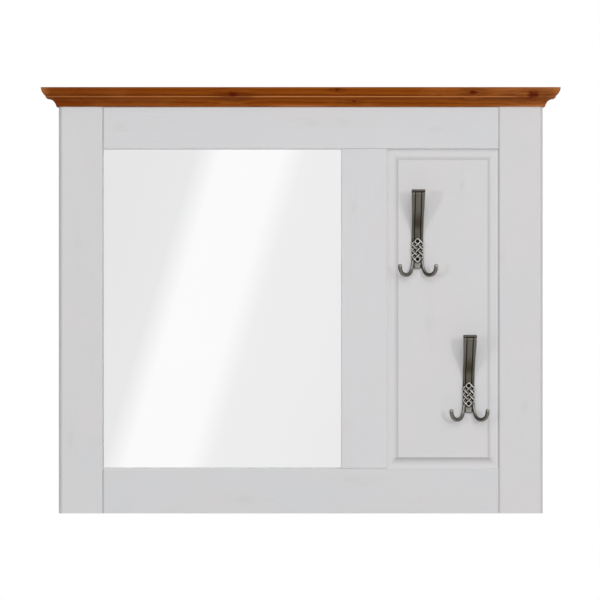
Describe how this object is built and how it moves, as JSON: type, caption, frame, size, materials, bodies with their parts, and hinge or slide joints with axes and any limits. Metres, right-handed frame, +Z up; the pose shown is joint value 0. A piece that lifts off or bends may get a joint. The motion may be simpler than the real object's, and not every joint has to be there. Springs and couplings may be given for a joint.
{
  "type": "hall mirror with coat hooks",
  "caption": "Wall-hung white pine hall mirror beside a raised panel with cast coat hooks, under an oiled pine crown moulding.",
  "frame": {"origin": "midway between the entry holes of the two keyhole plates, in the plane of the frame's back", "axes": "+X to the viewer's right across the width, +Z up, -Y out of the front face towards the viewer; the back of the frame lies in y = 0"},
  "size_m": [0.93, 0.068, 0.765],
  "materials": {
    "painted_pine": "thin white paint, satin, with the grain just showing",
    "oiled_pine": "honey brown oil and wax, satin",
    "silvered_glass": "polished float glass, silvered behind",
    "hardboard": "raw pressed fibre",
    "beech": "raw, fluted dowel stock",
    "antique_pewter": "dark antique pewter plating, brushed back to bright metal on the edges",
    "black_steel": "black, satin",
    "zinc_steel": "bright zinc plating"
  },
  "bodies": {
    "root": {"left_stile": "painted_pine", "middle_stile": "painted_pine", "right_stile": "painted_pine", "top_rail": "painted_pine", "bottom_rail": "painted_pine", "frame_dowels": "beech", "crown_front": "oiled_pine", "crown_left_return": "oiled_pine", "crown_right_return": "oiled_pine", "crown_dowels": "beech", "fielded_panel": "painted_pine", "mirror_glass": "silvered_glass", "backing_board": "hardboard", "backing_screws": "zinc_steel", "upper_hook": "antique_pewter", "lower_hook": "antique_pewter", "hook_screws": "black_steel", "left_hanger_plate": "zinc_steel", "right_hanger_plate": "zinc_steel", "hanger_screws": "zinc_steel"}
  },
  "joints": []
}
